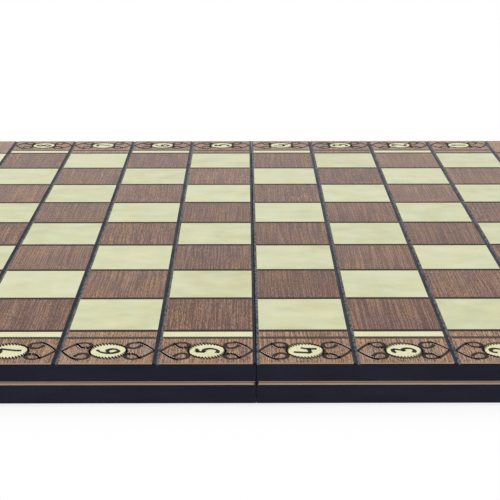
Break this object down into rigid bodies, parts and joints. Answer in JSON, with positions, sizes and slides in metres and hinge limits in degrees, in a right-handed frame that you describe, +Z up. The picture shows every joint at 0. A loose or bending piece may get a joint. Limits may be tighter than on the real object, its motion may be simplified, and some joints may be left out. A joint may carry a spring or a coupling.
{
  "type": "folding chess and backgammon board",
  "caption": "Folding wooden game box lying open as a chessboard: hinged trays with black sides, a backgammon table inside and brass hooks that hold the closed box shut.",
  "frame": {"origin": "under the middle of the fold line, on the surface that the open board stands on", "axes": "+X to the right of the fold, +Y along the fold away from the numbered front edge, +Z up out of the chess face"},
  "size_m": [0.4258, 0.42, 0.0201],
  "materials": {
    "black_paint": "black semi-gloss paint on wood",
    "mahogany": "stained veneer under semi-gloss lacquer",
    "maple": "pale veneer under semi-gloss lacquer",
    "pale_inlay": "pale veneer under semi-gloss lacquer",
    "black_line": "black-dyed inlay under semi-gloss lacquer",
    "rope_band": "burnt rope pattern under semi-gloss lacquer",
    "beech": "natural wood under satin lacquer",
    "brass": "polished, lightly worn",
    "steel": "drawn wire"
  },
  "bodies": {
    "left_half": {"left_core_panel": "black_paint", "left_front_rail": "black_paint", "left_rear_rail": "black_paint", "left_hinge_rail": "black_paint", "left_clasp_rail": "black_paint", "left_dark_squares": "mahogany", "left_light_squares": "maple", "left_border_veneer": "mahogany", "left_light_strips": "pale_inlay", "left_medallions": "pale_inlay", "left_column_lines": "black_line", "left_rope_bands": "rope_band", "left_table_lining": "beech", "left_dark_points": "mahogany", "left_light_points": "maple", "left_hinge_screws": "brass", "front_hinge_left_leaf": "brass", "front_hinge_pin": "steel", "rear_hinge_left_leaf": "brass", "rear_hinge_pin": "steel", "hook_screws": "brass"},
    "right_half": {"right_core_panel": "black_paint", "right_front_rail": "black_paint", "right_rear_rail": "black_paint", "right_hinge_rail": "black_paint", "right_clasp_rail": "black_paint", "right_dark_squares": "mahogany", "right_light_squares": "maple", "right_border_veneer": "mahogany", "right_light_strips": "pale_inlay", "right_medallions": "pale_inlay", "right_column_lines": "black_line", "right_rope_bands": "rope_band", "right_table_lining": "beech", "right_dark_points": "mahogany", "right_light_points": "maple", "right_hinge_screws": "brass", "front_hinge_right_leaf": "brass", "rear_hinge_right_leaf": "brass", "catch_studs": "brass"},
    "front_hook": {"front_hook": "brass"},
    "rear_hook": {"rear_hook": "brass"}
  },
  "joints": [
    {"name": "fold", "type": "hinge", "parent": "left_half", "child": "right_half", "pos_m": [0, 0, 0.0015], "axis": [0, 1, 0], "range_deg": [0, 180]},
    {"name": "front_hook_swing", "type": "hinge", "parent": "left_half", "child": "front_hook", "pos_m": [-0.2108, -0.12, 0.0067], "axis": [-1, 0, 0], "range_deg": [0, 90]},
    {"name": "rear_hook_swing", "type": "hinge", "parent": "left_half", "child": "rear_hook", "pos_m": [-0.2108, 0.12, 0.0067], "axis": [-1, 0, 0], "range_deg": [0, 90]}
  ]
}
